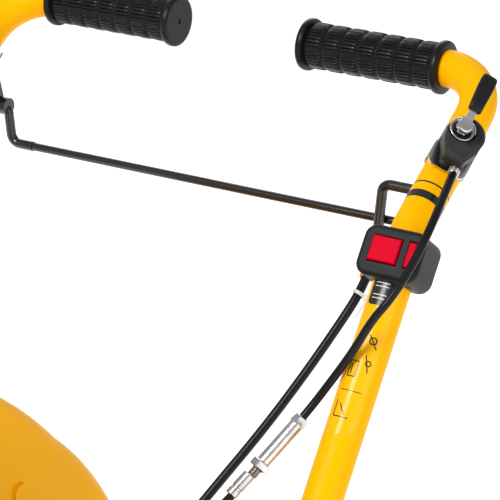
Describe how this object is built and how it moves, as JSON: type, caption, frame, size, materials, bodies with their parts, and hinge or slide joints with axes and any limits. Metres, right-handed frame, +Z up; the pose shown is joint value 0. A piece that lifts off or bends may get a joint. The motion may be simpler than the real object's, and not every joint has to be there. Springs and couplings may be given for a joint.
{
  "type": "walk behind leaf blower",
  "caption": "Wheeled leaf blower with a transverse fan volute, small engine, bent two-tube handle with rubber grips, throttle lever, stop rocker, drive bail, swivel nose wheel and aiming flap.",
  "frame": {"origin": "on the ground under the middle of the machine's bounding box", "axes": "+Z up, -Y is the way it drives and blows, +X is the operator's left"},
  "size_m": [0.68, 1.0402, 1.0202],
  "materials": {
    "yellow_paint": "glossy powder coat",
    "black_paint": "gloss black paint",
    "grip_rubber": "matte moulded rubber",
    "black_plastic": "fine-textured moulded plastic",
    "red_plastic": "satin moulded plastic",
    "cable_jacket": "satin extruded jacket",
    "grey_plastic": "moulded nylon",
    "zinc_plate": "bright zinc plate",
    "cast_aluminium": "shot-blasted casting",
    "bare_steel": "heat-darkened steel",
    "tyre_rubber": "worn tread rubber",
    "rim_paint": "satin black",
    "belt_rubber": "fabric-faced rubber"
  },
  "bodies": {
    "root": {"handle_tube_left": "yellow_paint", "handle_tube_right": "yellow_paint", "grip_left": "grip_rubber", "grip_right": "grip_rubber", "throttle_housing": "black_plastic", "throttle_strap": "zinc_plate", "throttle_fasteners": "zinc_plate", "throttle_cable": "cable_jacket", "cable_adjuster": "zinc_plate", "switch_housing": "black_plastic", "bail_spring": "zinc_plate", "drive_cable": "cable_jacket", "cable_tie": "grey_plastic", "frame_rail_left": "yellow_paint", "frame_rail_right": "yellow_paint", "frame_crossbars": "yellow_paint", "caster_plate": "yellow_paint", "engine_deck": "yellow_paint", "deck_leg_rear": "yellow_paint", "deck_leg_front": "yellow_paint", "axle_bearings": "bare_steel", "gearbox": "cast_aluminium", "drive_belt": "belt_rubber", "volute_body": "yellow_paint", "volute_cover": "yellow_paint", "intake_guard": "black_paint", "outlet_elbow": "yellow_paint", "crankcase": "cast_aluminium", "rocker_cover": "cast_aluminium", "fan_shroud": "black_paint", "recoil_cover": "black_paint", "fuel_tank": "black_plastic", "air_filter": "black_plastic", "carburettor": "cast_aluminium", "muffler": "bare_steel", "muffler_guard": "black_paint", "plug_boot": "grip_rubber", "frame_bolts": "zinc_plate"},
    "rear_wheels": {"rear_axle": "zinc_plate", "rear_tyre_left": "tyre_rubber", "rear_tyre_right": "tyre_rubber", "rear_rim_left": "rim_paint", "rear_rim_right": "rim_paint"},
    "caster": {"caster_fork": "black_paint"},
    "caster_wheel": {"caster_tyre": "tyre_rubber", "caster_rim": "rim_paint"},
    "crank": {"crankshaft": "zinc_plate", "engine_pulley": "zinc_plate", "impeller": "zinc_plate"},
    "gearbox_input": {"gearbox_pulley": "zinc_plate"},
    "idler": {"idler_arm": "black_paint"},
    "idler_wheel": {"idler_pulley": "zinc_plate"},
    "bail": {"bail": "black_paint"},
    "throttle": {"throttle_lever": "black_plastic"},
    "stop_switch": {"stop_rocker": "red_plastic"},
    "deflector": {"deflector": "black_paint"},
    "recoil_pull": {"recoil_handle": "black_plastic"},
    "fuel_cap": {"fuel_cap": "black_plastic"},
    "oil_cap": {"oil_cap": "black_plastic"}
  },
  "joints": [
    {"name": "rear_axle_spin", "type": "hinge", "parent": "root", "child": "rear_wheels", "pos_m": [0, 0.16987, 0.17], "axis": [1, 0, 0], "continuous": true},
    {"name": "caster_swivel", "type": "hinge", "parent": "root", "child": "caster", "pos_m": [0.11, -0.24513, 0.19], "axis": [0, 0, 1], "continuous": true},
    {"name": "caster_wheel_spin", "type": "hinge", "parent": "caster", "child": "caster_wheel", "pos_m": [0.11, -0.21013, 0.08], "axis": [1, 0, 0], "continuous": true},
    {"name": "crank_spin", "type": "hinge", "parent": "root", "child": "crank", "pos_m": [0, 0.04487, 0.49], "axis": [1, 0, 0], "continuous": true},
    {"name": "gearbox_input_spin", "type": "hinge", "parent": "root", "child": "gearbox_input", "pos_m": [0.017, 0.16987, 0.262], "axis": [1, 0, 0], "continuous": true},
    {"name": "bail_pull", "type": "hinge", "parent": "root", "child": "bail", "pos_m": [0, 0.42388, 0.931], "axis": [1, 0, 0], "range_deg": [0, 30], "stiffness_Nm_per_rad": 1.2, "springref_deg": -28.65},
    {"name": "idler_swing", "type": "hinge", "parent": "root", "child": "idler", "pos_m": [0.028, 0.18188, 0.478], "axis": [-1, 0, 0], "range_deg": [0, 6]},
    {"name": "idler_wheel_spin", "type": "hinge", "parent": "idler", "child": "idler_wheel", "pos_m": [0.017, 0.18188, 0.411], "axis": [1, 0, 0], "continuous": true},
    {"name": "throttle_turn", "type": "hinge", "parent": "root", "child": "throttle", "pos_m": [0.23534, 0.41471, 0.9879], "axis": [0.5446, -0.437, 0.7158], "range_deg": [-30, 30]},
    {"name": "stop_rock", "type": "hinge", "parent": "root", "child": "stop_switch", "pos_m": [0.2217, 0.34373, 0.91371], "axis": [0, 0.5962, 0.8028], "range_deg": [-4, 4]},
    {"name": "deflector_aim", "type": "hinge", "parent": "root", "child": "deflector", "pos_m": [-0.158, -0.39128, 0.205], "axis": [0, 0, 1], "range_deg": [0, 60]},
    {"name": "recoil_slide", "type": "slide", "parent": "root", "child": "recoil_pull", "axis": [0.3491, 0.4364, 0.8292], "range_m": [0, 0.4], "stiffness_N_per_m": 20, "springref_m": -0.05},
    {"name": "fuel_cap_turn", "type": "hinge", "parent": "root", "child": "fuel_cap", "pos_m": [0.098, 0.10387, 0.694], "axis": [0, 0, 1], "range_deg": [0, 90]},
    {"name": "oil_cap_turn", "type": "hinge", "parent": "root", "child": "oil_cap", "pos_m": [0.07, 0.13187, 0.428], "axis": [0, -1, 0], "continuous": true}
  ],
  "couplings": [
    {"joint": "gearbox_input_spin", "follows": "rear_axle_spin", "ratio": 8},
    {"joint": "idler_swing", "follows": "bail_pull", "ratio": 0.2}
  ]
}
